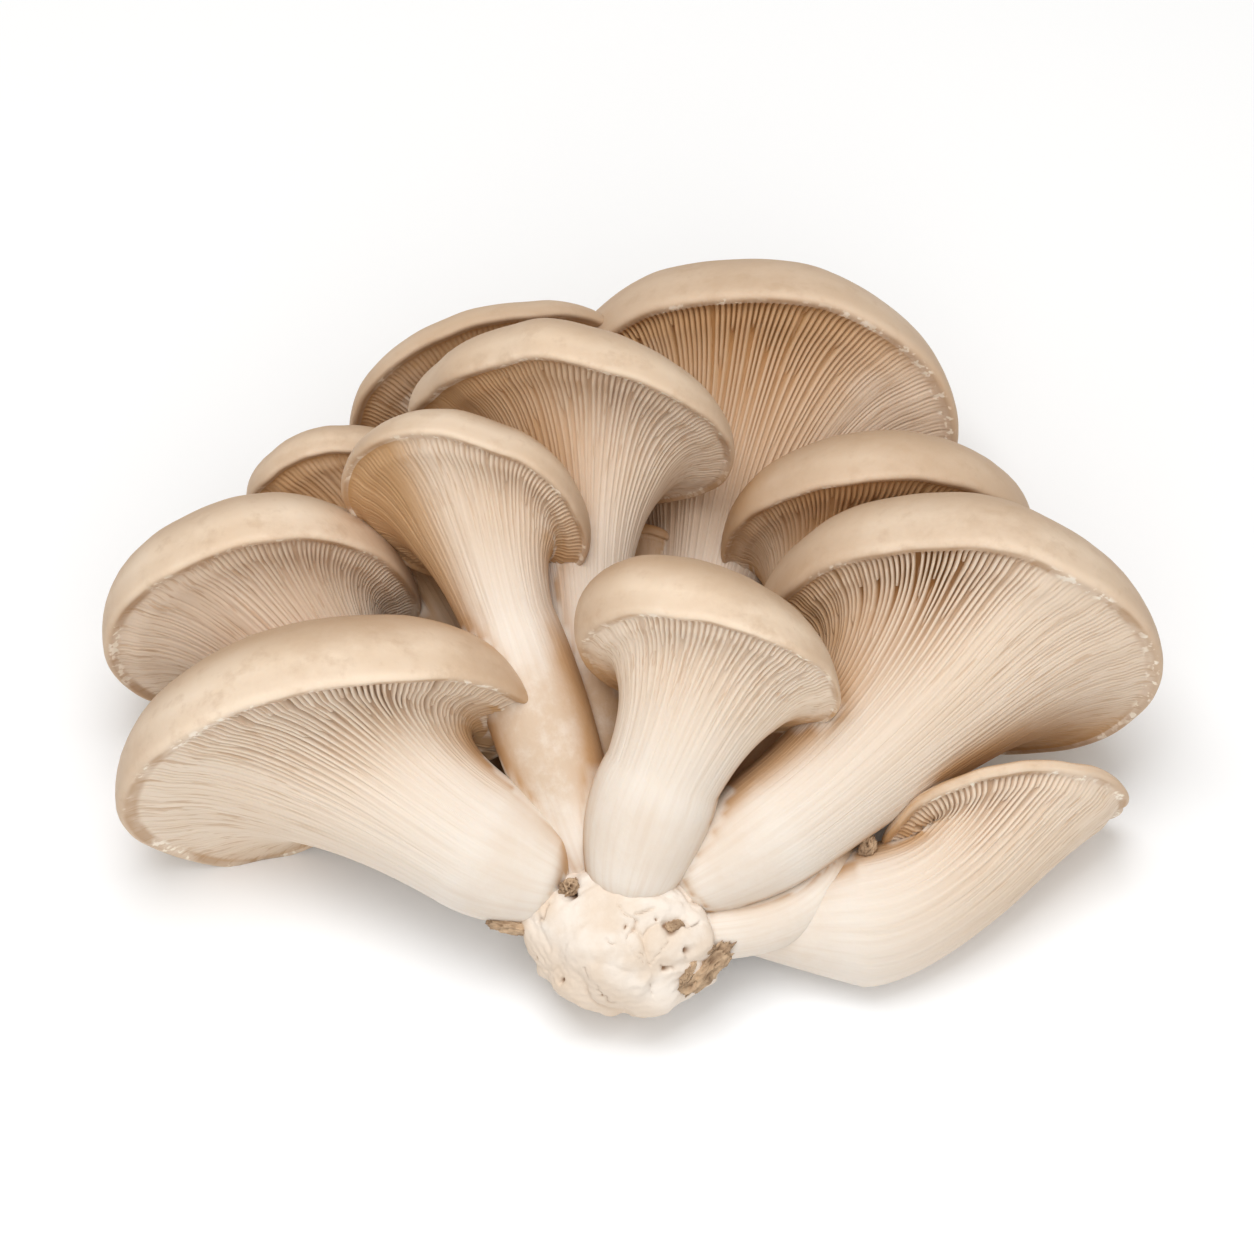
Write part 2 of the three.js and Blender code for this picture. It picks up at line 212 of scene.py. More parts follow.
class Shape:
    """The skin of one mushroom, by angle round it and share along it."""

    lean, bow, throat, hidden, dents, waves, shaded = 0, 0, 0.75, 1, (), (), (-90, 0.3)

    def __init__(self, sizes):
        for name, value in sizes.items():
            setattr(self, name, np.array(value, float) if isinstance(value, tuple) else value)
        roll, tip = radians(self.roll), radians(self.tip)
        self.axis = np.array((sin(roll) * cos(tip), cos(roll) * cos(tip), -sin(tip)))
        self.across = np.array((cos(roll), -sin(roll), 0))
        self.near = np.cross(self.across, self.axis)
        self.rise = self.axis * self.crown + self.across * self.lean
        self.apex = self.middle + self.rise
        self.flare_foot = self.line(self.flare)
        self.flare_way = self.way(self.flare)
        self.flare_reach = np.linalg.norm(self.flare_foot - self.neck)
        self.neck_on_rim = self.neck + self.axis * ((self.middle - self.neck) @ self.axis)

    def line(self, t):
        return self.root * (1 - t) ** 2 + self.bend * 2 * t * (1 - t) + self.neck * t * t

    def way(self, t):
        return unit((self.bend - self.root) * (1 - t) + (self.neck - self.bend) * t)

    def rim(self, a):
        """The cap's edge: an oval, pressed in at its dents and bent up near and far by its bow."""
        reach = np.ones(len(a))
        for towards, depth, spread in self.dents:
            apart = (a - radians(towards) + pi) % (2 * pi) - pi
            reach = reach - depth * np.exp(-(apart / radians(spread)) ** 4)
        flat = np.outer(np.cos(a), self.across) * self.wide + np.outer(np.sin(a), self.near) * self.deep
        up = np.sin(a) ** 2 * self.bow
        for count, height, phase in self.waves:
            up = up + height * np.sin(count * a + phase)
        return self.middle + flat * reach[:, None] + np.outer(up, self.axis)

    def stem(self, a, share, grow=0.0):
        t = share * self.flare
        turn = Vector(self.flare_way).rotation_difference(Vector(self.way(t))) @ \
            Vector(self.axis).rotation_difference(Vector(self.flare_way))
        across, near = np.array(turn @ Vector(self.across)), np.array(turn @ Vector(self.near))
        end = min(share / STEM_ROUND_END, 1)
        radius = (1 - (1 - end) ** 2) ** 0.5 * (
            self.foot * (1 - share) * (1 - 2 * share) + self.waist * 4 * share * (1 - share)
            + self.top * share * (2 * share - 1))
        ring = np.outer(np.cos(a), across) + np.outer(np.sin(a), near)
        return self.line(t) + ring * np.reshape(radius + grow, (-1, 1))

    def gill_side(self, a, t):
        edge, foot = self.rim(a), self.stem(a, 1)
        arch = edge * (1 - HOLLOW) + self.neck_on_rim * HOLLOW + self.axis * self.lift * 2
        return cubic(edge, arch, foot + self.flare_way * self.flare_reach * self.throat, foot, t)

    def cap_side(self, a, t):
        edge = self.rim(a)
        flat = edge - self.middle
        flat = flat - np.outer(flat @ self.axis, self.axis)
        shoulder = edge + self.rise * CAP_SHOULDER + unit(flat) * RIM_ROLL
        return cubic(edge, shoulder, self.apex + flat * CAP_TOP_WIDTH, self.apex, t)

    def normal(self, surface, a, t):
        step = 1e-3
        around = surface(a + step, t) - surface(a - step, t)
        along = surface(a, t + step) - surface(a, t - step)
        return unit(np.cross(around, along))


def solid_tree():
    """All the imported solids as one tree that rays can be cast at."""
    corners, faces = [], []
    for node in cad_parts.values():
        first = len(corners)
        corners += [v.co.copy() for v in node.data.vertices]
        faces += [[first + i for i in face.vertices] for face in node.data.polygons]
    return BVHTree.FromPolygons(corners, faces)


solids = solid_tree()
heights = (np.arange(SKY_RAYS) + 0.5) / SKY_RAYS
turns = np.arange(SKY_RAYS) * pi * (3 - 5 ** 0.5)
SKY = np.stack((np.sqrt(heights) * np.cos(turns), np.sqrt(heights) * np.sin(turns), np.sqrt(1 - heights)), 1)


def shut_in(points, normals):
    """How much of what each point faces is other flesh close by: 0 in the open, 1 deep between stems."""
    shares = np.zeros(len(points))
    for i, (point, normal) in enumerate(zip(points, normals)):
        side = unit(np.cross(normal, (0.3, 0.9, 0.2)))
        up = np.cross(normal, side)
        rays = SKY @ np.stack((side, up, normal))
        start = Vector(point + normal * SKY_CLEAR)
        for ray in rays:
            place, facing, _, far = solids.ray_cast(start, Vector(ray), SKY_REACH)
            if place is not None and facing.dot(Vector(ray)) < 0:
                shares[i] += 1 - far / SKY_REACH
    return shares / SKY_RAYS


def gill_order(count):
    """0 for the gills that run furthest, 1 for the shortest, shared out evenly round the cap."""
    shares = np.zeros(count)
    for i in range(count):
        digit, whole = 0.5, i
        while whole:
            shares[i] += digit * (whole % 2)
            whole, digit = whole // 2, digit / 2
    return shares


def mushroom_skin(sizes, draw):
    """Rings of points from the top of the cap, over the rim and down the gills to the stem's foot."""
    shape = Shape(sizes)
    girth = 2 * pi * ((shape.wide ** 2 + shape.deep ** 2) / 2) ** 0.5
    gills = max(int(girth / GILL_PITCH / 4) * 4, 12)
    small = min(1, shape.wide / SMALL_CAP)
    shape.waves = [(count, height * small, draw.uniform(0, 2 * pi)) for count, height in RIM_WAVES]
    order = gill_order(gills)
    reach = SHORTEST_REACH + REACH_RANGE * (1 - order) ** 0.85
    reach = reach + draw.uniform(-REACH_SPREAD, REACH_SPREAD, gills)
    reach[order < WHOLE_GILLS] = WHOLE_REACH
    height = draw.uniform(LOWEST_GILL, 1.0, gills)
    phases = draw.uniform(0, 2 * pi, 6)
    own_waves = draw.uniform(0, 2 * pi, gills)
    start = 2 * pi * (np.arange(gills) + 0.5) / gills
    wider = 1 + GILL_WIDER * shape.bold * smooth((np.cos(start - radians(shape.deepest)) - 0.1) / 0.8)

    def gill_places(t):
        """The angle of each gill's middle and the room it takes, closing up as short gills end."""
        room = (0.4 + 0.6 * smooth((reach + 0.25 - t) / 0.5)) * wider
        bunched = np.sin(start * 9 + t * 4 + phases[1]) * 0.14
        bunched += np.sin(start * 37 - t * 5 + phases[2]) * 0.12
        room *= 1 + t * bunched
        place = 2 * pi * (np.cumsum(room) - room / 2) / room.sum()
        place += radians(shape.deepest) - np.interp(radians(shape.deepest), start, place)
        return place + GILL_SWAY * t * np.sin(start * 3 + t * 3 + phases[0]), 2 * pi * room / room.sum()

    def columns(t, per_gill):
        """The angles of a ring's points, with 4, 2, 1 or half a point for each gill."""
        place, room = gill_places(t)
        if per_gill == 4:
            following, after = np.roll(place, -1), np.roll(room, -1)
            following[-1] += 2 * pi
            return np.stack((place - room * CREST_HALF, place + room * CREST_HALF,
                             place + room * VALLEY_EDGE, following - after * VALLEY_EDGE), 1).ravel()
        if per_gill == 2:
            return (place[:, None] + room[:, None] * np.array((0, 0.5))).ravel()
        if per_gill == 1:
            return place + room * 0.25
        return (place + room * 0.25)[::2] + pi / gills

    rings, skins, valleys, alongs, angles, cavities = [], [], [], [], [], []
    few = 2 * pi * np.arange(SKY_ANGLES) / SKY_ANGLES

    def add(points, a, skin, valley, along, side=None, t=0, shade=0):
        """One more ring, with what each of its points is: skin or gill, crest or valley, how shut in."""
        if side is None:
            cavities.append(np.full(len(points), 0.0 if skin else 0.5))
        else:
            facing = shape.normal(side, few, t) * (1 if side == shape.gill_side else -1)
            shares = shut_in(to_world(side(few, t)), facing @ np.array(fan_turn).T)
            cavities.append(np.interp(a, few, shares, period=2 * pi) * shape.hidden + shade)
        rings.append(points)
        skins.append(np.full(len(points), skin, float))
        valleys.append(np.broadcast_to(valley, len(points)).astype(float))
        alongs.append(np.full(len(points), along, float))
        angles.append(a)

    # The cap, from its top to the lip.
    add(shape.apex[None], np.zeros(1), 1, 0, -1)
    for t, per_gill in CAP_RINGS:
        a = columns(0, per_gill)
        add(shape.cap_side(a, t), a, 1, 0, -t, shape.cap_side, t)
    a = columns(0, 4)
    cap_lip, gill_lip, edge = shape.cap_side(a, LIP), shape.gill_side(a, LIP), shape.rim(a)
    for u in RIM_RINGS:
        bend = cap_lip * (1 - u) ** 2 + edge * 2 * u * (1 - u) + gill_lip * u * u
        add(bend, a, 1 - smooth((u - 0.7) / 0.3), 0, LIP * (2 * u - 1), shape.cap_side, LIP)

    # The gills, from the lip to where the stem begins.
    blade = np.tile((1, 1, 0, 0), gills)
    first = LIP + 0.008
    for t in first + (1 - first) * np.linspace(0, 1, GILL_RINGS) ** 1.3:
        a = columns(t, 4)
        living = np.repeat(smooth((reach - t) / 0.03), 4)
        rise = smooth((t - LIP) / 0.04)
        fade = (1 - smooth((t - 0.1) / 0.8)) ** 1.15
        near = smooth((np.cos(a - radians(shape.deepest)) - 0.3) / 0.6) * shape.bold
        uneven = np.repeat(1 + GILL_UNEVEN * np.sin(own_waves + t * 7), 4)
        open_depth = (GILL_DEPTH_FAR + (GILL_DEPTH_STEM - GILL_DEPTH_FAR) * t) * uneven
        depth = small * rise * (open_depth + (GILL_DEPTH - open_depth) * near * fade)
        crest = GILL_CREST * small * smooth((t - LIP) / 0.12) * min(1, (1 - t) / 0.45)
        low = 1 - blade * living * np.repeat(height, 4)
        points = shape.gill_side(a, t) + shape.normal(shape.gill_side, a, t) * (crest - depth * low)[:, None]
        # Painted shade: the gills darken towards the rim on the side that the shaded setting names.
        shaded_way, shaded_most = shape.shaded
        shade = shaded_most * smooth(np.cos(a - radians(shaded_way)) / 0.8) * (1 - t)
        add(points, a, 0, low * depth / GILL_DEPTH, t, shape.gill_side, t, shade)

    # The stem, with the last of the ridges fading down it.
    for share, per_gill in STEM_RINGS:
        a = columns(1, per_gill)
        ridge = smooth((share - 0.4) / 0.6) * GILL_DEPTH_STEM * small
        low = np.zeros(len(a))
        if per_gill == 4:
            low = 1 - blade * np.repeat((reach > 1) * height, 4)
        if per_gill == 2:
            low = 1 - np.tile((1, 0), gills) * np.repeat((reach > 1) * height, 2)
        add(shape.stem(a, share, -ridge * low), a, 0, low * ridge / GILL_DEPTH, 2 - share, shape.stem, share)
    add(shape.root[None], np.zeros(1), 0, 0, 2)
    return rings, skins, valleys, alongs, angles, cavities


def sew(rings):
    """Faces between rings. A ring may have as many points as the next, twice as many, or be one point."""
    faces, starts = [], np.cumsum([0] + [len(ring) for ring in rings])
    for k in range(len(rings) - 1):
        m, n = len(rings[k]), len(rings[k + 1])
        one, two = starts[k], starts[k + 1]
        if m == 1 or n == 1:
            i = np.arange(max(m, n))
            j = (i + 1) % max(m, n)
            tip = one if m == 1 else two
            ring = two if m == 1 else one
            tri = (np.full(len(i), tip), ring + i, ring + j)
            faces += np.stack(tri if m == 1 else tri[::-1], 1).tolist()
        elif m == n:
            i = np.arange(m)
            j = (i + 1) % m
            faces += np.stack((one + i, two + i, two + j, one + j), 1).tolist()
        elif n == 2 * m:
            i = np.arange(m)
            j = (i + 1) % m
            faces += np.stack((one + i, two + 2 * i, two + 2 * i + 1), 1).tolist()
            faces += np.stack((one + i, two + 2 * i + 1, two + 2 * j, one + j), 1).tolist()
        else:
            i = np.arange(n)
            j = (i + 1) % n
            faces += np.stack((one + 2 * i, two + i, one + 2 * i + 1), 1).tolist()
            faces += np.stack((one + 2 * i + 1, two + i, two + j, one + 2 * j), 1).tolist()
    return faces


def make_piece(name, points, faces, **masks):
    """A smooth-shaded mesh object with its place in its mesh, and one attribute for each mask."""
    mesh = bpy.data.meshes.new(name)
    mesh.from_pydata(points.tolist(), [], faces)
    for mask, values in masks.items():
        if values.ndim == 2:
            mesh.attributes.new(mask, "FLOAT_VECTOR", "POINT").data.foreach_set("vector", values.ravel())
        else:
            mesh.attributes.new(mask, "FLOAT", "POINT").data.foreach_set("value", values)
    mesh.shade_smooth()
    piece = bpy.data.objects.new(name, mesh)
    bpy.context.scene.collection.objects.link(piece)
    return piece


def new_material(name):
    material = bpy.data.materials.new(name)
    material.use_nodes = True
    tree = material.node_tree
    return material, tree, tree.nodes["Principled BSDF"]


def add_node(tree, kind, settings=None, **inputs):
    """A node with its settings, and each input given a value or linked to a socket."""
    node = tree.nodes.new("ShaderNode" + kind)
    for key, value in (settings or {}).items():
        setattr(node, key, value)
    for key, value in inputs.items():
        socket = node.inputs[int(key[1:])] if key[0] == "_" else node.inputs[key.replace("_", " ")]
        if isinstance(value, bpy.types.NodeSocket):
            tree.links.new(value, socket)
        else:
            socket.default_value = value
    return node


def mix_colours(tree, share, one, two):
    node = add_node(tree, "Mix", dict(data_type="RGBA"))
    for socket, value in zip((node.inputs[0], node.inputs[6], node.inputs[7]), (share, one, two)):
        if isinstance(value, bpy.types.NodeSocket):
            tree.links.new(value, socket)
        else:
            socket.default_value = value
    return node.outputs[2]


def ranged(tree, value, low, high, to_low=0.0, to_high=1.0):
    return add_node(tree, "MapRange", dict(interpolation_type="SMOOTHSTEP"), Value=value, From_Min=low,
                    From_Max=high, To_Min=to_low, To_Max=to_high).outputs[0]


def streak_noise(tree, grown, scale, **settings):
    """Noise drawn out along the way a mushroom grows."""
    place = add_node(tree, "Mapping", Vector=grown, Scale=scale).outputs[0]
    return add_node(tree, "TexNoise", Vector=place, Scale=1.0, **settings).outputs[0]


def read_mask(tree, name):
    return add_node(tree, "Attribute", dict(attribute_name=name)).outputs


def mottling():
    """Soft blotches between two colours, with a fine grain for the height."""
    group = bpy.data.node_groups.new("mottling", "ShaderNodeTree")
    for name, kind in (("Colour", "Color"), ("Blotch", "Color"), ("Blotch Scale", "Float"),
                       ("Amount", "Float"), ("Grain Scale", "Float")):
        group.interface.new_socket(name, in_out="INPUT", socket_type="NodeSocket" + kind)
    group.interface.new_socket("Colour", in_out="OUTPUT", socket_type="NodeSocketColor")
    group.interface.new_socket("Height", in_out="OUTPUT", socket_type="NodeSocketFloat")
    given = group.nodes.new("NodeGroupInput")
    place = add_node(group, "TexCoord").outputs["Object"]
    blotch = add_node(group, "TexNoise", Vector=place, Scale=given.outputs["Blotch Scale"], Detail=5.0)
    share = add_node(group, "Math", dict(operation="MULTIPLY"),
                     _0=ranged(group, blotch.outputs[0], 0.35, 0.7), _1=given.outputs["Amount"])
    colour = mix_colours(group, share.outputs[0], given.outputs["Colour"], given.outputs["Blotch"])
    grain = add_node(group, "TexNoise", Vector=place, Scale=given.outputs["Grain Scale"], Detail=3.0)
    result = group.nodes.new("NodeGroupOutput")
    group.links.new(colour, result.inputs["Colour"])
    group.links.new(grain.outputs[0], result.inputs["Height"])
    return group


mottle = mottling()

# The flesh's colours, and its masks: skin or gill, how deep between gills, which sets painted shade
# in the valleys, how far along from the rim, how shut in by other flesh plus the shade towards the
# rim, which together set painted shade in hollows, and how brown the mushroom is and how stained its
# stem, partly real stain and partly painted shade.
SKIN_TAN = (0.76, 0.605, 0.455, 1)
SKIN_BROWN_AND_SHADE = (0.52, 0.36, 0.235, 1)
SKIN_PALE = (0.845, 0.71, 0.57, 1)
SKIN_EDGE = (0.42, 0.25, 0.13, 1)
SKIN_FLECK = (0.93, 0.84, 0.72, 1)
GILL_CREAM = (0.80, 0.675, 0.555, 1)
GILL_TAN = (0.62, 0.46, 0.33, 1)
GILL_VALLEY_SHADE = (0.34, 0.17, 0.06, 1)
STEM_WHITE = (0.81, 0.745, 0.675, 1)
STEM_STAIN_AND_SHADE = (0.61, 0.45, 0.31, 1)
SHUT_IN_SHADE = (0.52, 0.30, 0.13, 1)

flesh, tree, surface = new_material("mushroom flesh")
skin, valley, along, shut, brown, stain = (read_mask(tree, n)["Fac"]
                                           for n in ("skin", "valley", "along", "shut", "brown", "stain"))
grown = read_mask(tree, "grow")["Vector"]
tan = add_node(tree, "Group", dict(node_tree=mottle), Colour=SKIN_PALE, Blotch=SKIN_TAN,
               Blotch_Scale=70.0, Amount=0.9, Grain_Scale=900.0)
place = add_node(tree, "TexCoord").outputs["Object"]
patches = add_node(tree, "TexNoise", Vector=place, Scale=38.0, Detail=8.0, Roughness=0.68).outputs[0]
# Painted shade: the skin darkens towards the cap's left and right ends, where it turns from the light.
towards_end = add_node(tree, "SeparateXYZ", Vector=grown).outputs[0]
shaded_ends = add_node(tree, "Math", dict(operation="ABSOLUTE"), _0=towards_end)
skin_colour = mix_colours(tree, ranged(tree, patches, 0.44, 0.66, 0, 0.45), tan.outputs["Colour"], SKIN_BROWN_AND_SHADE)
freckles = add_node(tree, "TexNoise", Vector=place, Scale=260.0, Detail=5.0, Roughness=0.6).outputs[0]
skin_colour = mix_colours(tree, ranged(tree, freckles, 0.5, 0.72, 0, 0.35), skin_colour, SKIN_BROWN_AND_SHADE)
skin_colour = mix_colours(tree, ranged(tree, shaded_ends.outputs[0], 0.5, 1.0, 0, 0.55), skin_colour, SKIN_BROWN_AND_SHADE)
skin_colour = mix_colours(tree, brown, skin_colour, SKIN_BROWN_AND_SHADE)
# Darker towards the crown: partly the cap's own darker middle, partly painted shade on the band's far edge,
# which turns from the light.
skin_colour = mix_colours(tree, ranged(tree, along, -0.1, -0.42, 0, 0.85), skin_colour, SKIN_BROWN_AND_SHADE)
streaks = streak_noise(tree, grown, (13, 13, 3), Detail=6.0, Roughness=0.6)
crown = add_node(tree, "Math", dict(operation="MULTIPLY"), _0=ranged(tree, streaks, 0.42, 0.68),
                 _1=ranged(tree, along, -0.2, -0.7, 0, 0.2)).outputs[0]
skin_colour = mix_colours(tree, crown, skin_colour, SKIN_EDGE)
fold = add_node(tree, "Math", dict(operation="MULTIPLY"), _0=ranged(tree, along, -0.02, -0.06),
                _1=ranged(tree, along, -0.16, -0.09, 0, 0.2)).outputs[0]
skin_colour = mix_colours(tree, fold, skin_colour, SKIN_BROWN_AND_SHADE)
cream = add_node(tree, "Group", dict(node_tree=mottle), Colour=GILL_CREAM, Blotch=SKIN_TAN,
                 Blotch_Scale=70.0, Amount=0.25, Grain_Scale=1500.0)
stem_colour = mix_colours(tree, ranged(tree, along, 0.45, 1.15), cream.outputs["Colour"], STEM_WHITE)
fibres = streak_noise(tree, grown, (9, 9, 1.2), Detail=5.0)
stem_colour = mix_colours(tree, ranged(tree, fibres, 0.4, 0.75, 0, 0.2), stem_colour, STEM_STAIN_AND_SHADE)
gill_brown = add_node(tree, "Math", dict(operation="MULTIPLY"), _0=brown,
                      _1=ranged(tree, along, 1.2, 0.6, 0, 0.6)).outputs[0]
stem_colour = mix_colours(tree, gill_brown, stem_colour, GILL_TAN)
cloudy = add_node(tree, "TexNoise", Vector=place, Scale=190.0, Detail=8.0, Roughness=0.7).outputs[0]
# The stem's stain is partly real stain and, on stems deep between caps, painted shade.
stained = add_node(tree, "Math", dict(operation="MULTIPLY"), _0=stain,
                   _1=ranged(tree, cloudy, 0.3, 0.6, 0.35, 1.0))
stem_colour = mix_colours(tree, stained.outputs[0], stem_colour, STEM_STAIN_AND_SHADE)
# Painted shade: the valleys between the gills darken to brown, the deeper the darker.
valley_shade = add_node(tree, "Math", dict(operation="MULTIPLY", use_clamp=True), _0=valley,
                  _1=ranged(tree, brown, 0.0, 0.3, 0.8, 1.25)).outputs[0]
gill_colour = mix_colours(tree, valley_shade, stem_colour, GILL_VALLEY_SHADE)
dashes = streak_noise(tree, grown, (34, 34, 7), Detail=2.0)
dashes = add_node(tree, "Math", dict(operation="MULTIPLY"), _0=ranged(tree, dashes, 0.57, 0.66, 0, 0.85),
                  _1=ranged(tree, along, 0.75, 0.45)).outputs[0]
gill_colour = mix_colours(tree, dashes, gill_colour, GILL_TAN)
whole = mix_colours(tree, skin, gill_colour, skin_colour)
edge = add_node(tree, "Math", dict(operation="MULTIPLY"), _0=ranged(tree, along, 0.0, 0.03),
                _1=ranged(tree, along, 0.085, 0.06)).outputs[0]
worn = add_node(tree, "TexNoise", Vector=place, Scale=90.0, Detail=3.0).outputs[0]
worn_edge = add_node(tree, "Math", dict(operation="MULTIPLY"), _0=edge,
                     _1=ranged(tree, worn, 0.4, 0.62, 0.1, 0.7))
whole = mix_colours(tree, worn_edge.outputs[0], whole, SKIN_EDGE)
fleck = add_node(tree, "TexNoise", Vector=place, Scale=650.0, Detail=2.0).outputs[0]
flecked = add_node(tree, "Math", dict(operation="MULTIPLY"), _0=ranged(tree, worn, 0.55, 0.43),
                   _1=ranged(tree, fleck, 0.52, 0.6)).outputs[0]
flecked = add_node(tree, "Math", dict(operation="MULTIPLY"), _0=edge, _1=flecked).outputs[0]
whole = mix_colours(tree, flecked, whole, SKIN_FLECK)
# Painted shade: flesh that is shut in by other flesh, and gills towards the rim, turn brown.
deep = mix_colours(tree, ranged(tree, shut, 0.1, 0.75, 0, 0.85), whole, SHUT_IN_SHADE)
tree.links.new(deep, surface.inputs["Base Color"])
surface.inputs["Roughness"].default_value = 0.62
surface.inputs["Specular IOR Level"].default_value = 0.3
surface.inputs["Subsurface Weight"].default_value = 0.3
surface.inputs["Subsurface Radius"].default_value = (1.0, 0.8, 0.6)
surface.inputs["Subsurface Scale"].default_value = 0.0007
bump = add_node(tree, "Bump", Strength=0.25, Distance=0.0003, Height=tan.outputs["Height"])
tree.links.new(bump.outputs[0], surface.inputs["Normal"])

FIRST_SEED = 100
USUAL_STAIN = 0.2
for number, (name, sizes) in enumerate(MUSHROOMS.items()):
    draw = np.random.default_rng(FIRST_SEED + number)
    rings, skins, valleys, alongs, angles, cavities = mushroom_skin(sizes, draw)
    points = np.concatenate(rings)
    around, share = np.concatenate(angles), np.concatenate(alongs)
    grow = np.stack((np.cos(around), np.sin(around), share), 1)
    # The stem's lower part gets its stain here: real stain on most, and painted shade as well on stems deep
    # between caps.
    stain = sizes.get("stain", USUAL_STAIN) * smooth((share - 1.1) / 0.25) * smooth((1.8 - share) / 0.2)
    mushroom = make_piece(name + "_fine", to_world(points), sew(rings), skin=np.concatenate(skins),
                          stain=stain, valley=np.concatenate(valleys), along=share, grow=grow,
                          shut=np.concatenate(cavities), brown=np.full(len(points), sizes["brown"]))
    mushroom.data.materials.append(flesh)
    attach(mushroom, "root")
    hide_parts(name)

# ---------------------------------------------------------------- butt
# The butt is the dense white mass where all the stems start, cut from the growing block. It is made of
# folds of firm flesh that have grown together, with cracks between them and small brown pits.
BUTT_MIDDLE = np.array((-1.0, 1.0, 0.0))
BUTT_HALF = np.array((16.0, 13.5, 12.0))
# Each swelling: which way it points, how far it stands out as a share of the butt, and its width.
BUTT_KNOBS = (
    ((-0.9, 0.35, 0.3), 0.2, 0.35), ((0.75, -0.1, 0.65), 0.14, 0.35), ((-0.35, -0.2, 0.9), 0.14, 0.4),
    ((0.3, -0.8, 0.4), 0.12, 0.35), ((-0.55, -0.75, 0.4), 0.04, 0.3), ((0.8, -0.5, -0.2), 0.14, 0.35),
    ((0.0, 0.75, 0.65), 0.12, 0.35))
BUTT_SEED = 21
FOLDS = 34
CRACK_DEPTH = 0.045
CRACK_WIDTH = 0.035
# Each pit: where it is, across and up the fan, its radius and its depth.
PITS = ((-0.7, 2.8, 0.3, 0.8), (4.2, 4.1, 0.35, 0.9), (-15.1, -2.2, 0.4, 0.8), (-10.8, -6.2, 0.5, 1.0),
        (5.8, -4.1, 0.6, 0.7), (6.8, 2.7, 1.2, 1.2), (-9.6, 8.4, 1.1, 2.0), (-4.6, -8.6, 0.4, 0.5),
        (9.4, -1.0, 0.9, 1.4))
# Each crack: its two ends, its half width and its depth.
CRACKS = (
    ((-1.6, 6.2), (1.2, 3.6), 0.16, 0.5), ((1.2, 3.6), (-0.4, 1.0), 0.16, 0.5),
    ((1.2, 4.6), (3.9, 6.0), 0.2, 0.8), ((-5.4, -8.2), (-2.4, -9.2), 0.2, 0.4),
    ((5.6, 0.6), (3.8, -2.8), 0.16, 0.3), ((8.6, 3.0), (11.2, 3.4), 0.3, 1.0),
    ((-13.4, 6.4), (-14.6, 3.6), 0.3, 0.6), ((1.6, -1.2), (3.4, -3.6), 0.16, 0.3),
    ((3.3, -6.2), (3.7, -8.4), 0.16, 0.4), ((5.5, -0.6), (6.3, 0.7), 0.16, 0.4),
    ((5.0, -3.2), (6.9, -4.2), 0.25, 0.5), ((-3.6, 0.7), (-2.5, 0.2), 0.18, 0.5),
    ((0.3, -0.6), (2.0, -3.2), 0.14, 0.3), ((-7.4, -3.7), (-7.2, -5.2), 0.16, 0.4),
    ((-5.4, -7.0), (-4.2, -8.0), 0.14, 0.4))


def new_ball(name, fineness):
    """An icosphere of radius 1 with nothing else selected, to be shaped by moving its points."""
    bpy.ops.object.select_all(action="DESELECT")
    bpy.ops.mesh.primitive_ico_sphere_add(subdivisions=fineness, radius=1)
    ball = bpy.context.object
    ball.name = ball.data.name = name
    ball.data.shade_smooth()
    ways = np.zeros(len(ball.data.vertices) * 3)
    ball.data.vertices.foreach_get("co", ways)
    return ball, unit(ways.reshape(-1, 3))


def set_points(piece, points, **masks):
    piece.data.vertices.foreach_set("co", to_world(points).ravel())
    for mask, values in masks.items():
        piece.data.attributes.new(mask, "FLOAT", "POINT").data.foreach_set("value", values)
    piece.data.update()


def way_to_line(points, one, two):
    """Distance in the fan's plane from each point to the straight line between one and two."""
    one, two = np.array(one), np.array(two)
    along = np.clip((points - one) @ (two - one) / ((two - one) @ (two - one)), 0, 1)
    return np.linalg.norm(points - one - along[:, None] * (two - one), axis=1)


draw = np.random.default_rng(BUTT_SEED)
butt, ways = new_ball("butt_fine", 7)
around = np.arctan2(ways[:, 2], ways[:, 0])
tilt = np.arccos(np.clip(ways[:, 1], -1, 1))
bulge = 0.95 + 0.03 * np.sin(5 * around) * np.sin(4 * tilt)
for towards, height, width in BUTT_KNOBS:
    far = np.linalg.norm(ways - unit(np.array(towards)), axis=1)
    bulge = bulge + height * np.exp(-(far / width) ** 2)
bent = ways + 0.08 * np.stack([lumps(ways, 0.7, draw) for _ in range(3)], 1)
middles = unit(draw.normal(size=(FOLDS, 3)))
far = np.sort(np.linalg.norm(bent[:, None] - middles[None], axis=2), axis=1)
between = far[:, 1] - far[:, 0]
open_share = smooth((lumps(ways, 0.9, draw) + 0.5) / 1.4)
bulge += 0.05 * (smooth(between / 0.4) - 0.5)
bulge -= CRACK_DEPTH * open_share * np.exp(-(between / CRACK_WIDTH) ** 2)
bulge += 0.01 * lumps(ways, 0.25, draw) + 0.005 * lumps(ways, 0.1, draw)
soil = 0.35 * open_share * np.exp(-(between / 0.025) ** 2)
points = ways * bulge[:, None] * BUTT_HALF + BUTT_MIDDLE
front = smooth((ways[:, 2] + 0.1) / 0.3)
flat = points[:, :2] + 0.4 * np.stack((lumps(points, 2.5, draw), lumps(points, 2.5, draw)), 1)
for x, y, radius, depth in PITS:
    near = np.exp(-(np.linalg.norm(flat - (x, y), axis=1) / radius) ** 2) * front
    points -= ways * (near * depth)[:, None]
    soil = np.maximum(soil, near)
